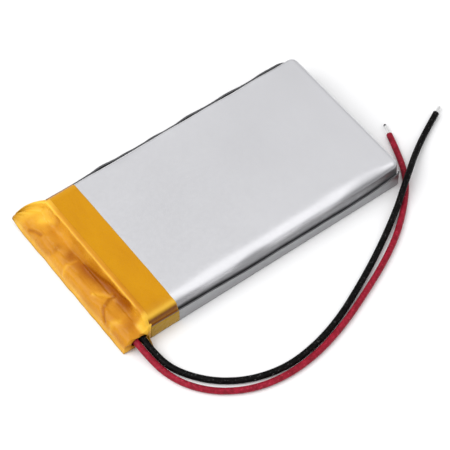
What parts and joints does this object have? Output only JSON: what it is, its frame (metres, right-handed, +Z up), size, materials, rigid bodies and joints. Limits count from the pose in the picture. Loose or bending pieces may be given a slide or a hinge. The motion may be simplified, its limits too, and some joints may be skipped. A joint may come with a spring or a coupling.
{
  "type": "pouch battery cell",
  "caption": "Flat rectangular lithium pouch cell with folded side seals, an amber-taped protection board at one end and a red and a black flying lead.",
  "frame": {"origin": "on the flat underside, midway along the cell and on the middle plane of its body; the tape gathered at one end stands out past the body on the +Y side, so the origin is not the middle of the whole width", "axes": "+X along the cell from the taped terminal end to the folded end, +Y across it with the leads' side at -Y, +Z up through its thickness"},
  "size_m": [0.083, 0.0588, 0.0066],
  "materials": {
    "pouch_laminate_outer": "satin aluminium and nylon laminate",
    "pouch_laminate_cover": "satin aluminium and nylon laminate",
    "separator_film": "white porous film",
    "anode_coating": "dull black carbon coating on copper foil",
    "cathode_coating": "dull dark grey oxide coating on aluminium foil",
    "roll_closing_tape": "thin green film tape",
    "aluminium_tab": "plain rolled aluminium",
    "nickel_tab": "rolled nickel",
    "tab_sealant": "milky polypropylene film",
    "nickel_plate": "satin nickel",
    "board_laminate": "green solder mask over glass-fibre laminate",
    "insulating_paper": "adhesive-backed insulating paper",
    "tinned_copper": "tinned copper",
    "chip_moulding": "matt black moulding",
    "resistor_film": "black glazed film",
    "capacitor_ceramic": "tan ceramic",
    "solder": "bright solder",
    "red_insulation": "satin dark red silicone",
    "black_insulation": "satin black silicone",
    "tinned_wire": "tinned stranded copper",
    "amber_tape": "glossy amber polyimide film"
  },
  "bodies": {
    "root": {"pouch_cup": "pouch_laminate_outer", "pouch_cover": "pouch_laminate_cover", "separator_inner": "separator_film", "separator_outer": "separator_film", "anode_foil": "anode_coating", "cathode_foil": "cathode_coating", "roll_tape": "roll_closing_tape", "positive_tab": "aluminium_tab", "negative_tab": "nickel_tab", "positive_tab_sealant": "tab_sealant", "negative_tab_sealant": "tab_sealant", "positive_nickel_plate": "nickel_plate", "negative_nickel_plate": "nickel_plate", "circuit_board": "board_laminate", "board_insulating_strip": "insulating_paper", "board_pads": "tinned_copper", "protection_chip": "chip_moulding", "switch_chip": "chip_moulding", "chip_legs": "tinned_copper", "resistor_bodies": "resistor_film", "capacitor_body": "capacitor_ceramic", "small_part_end_caps": "tinned_copper", "solder_joints": "solder", "red_lead": "red_insulation", "black_lead": "black_insulation", "red_lead_tip": "tinned_wire", "black_lead_tip": "tinned_wire", "red_lead_root": "tinned_wire", "black_lead_root": "tinned_wire", "band_tape": "amber_tape", "cap_tape": "amber_tape"}
  },
  "joints": []
}
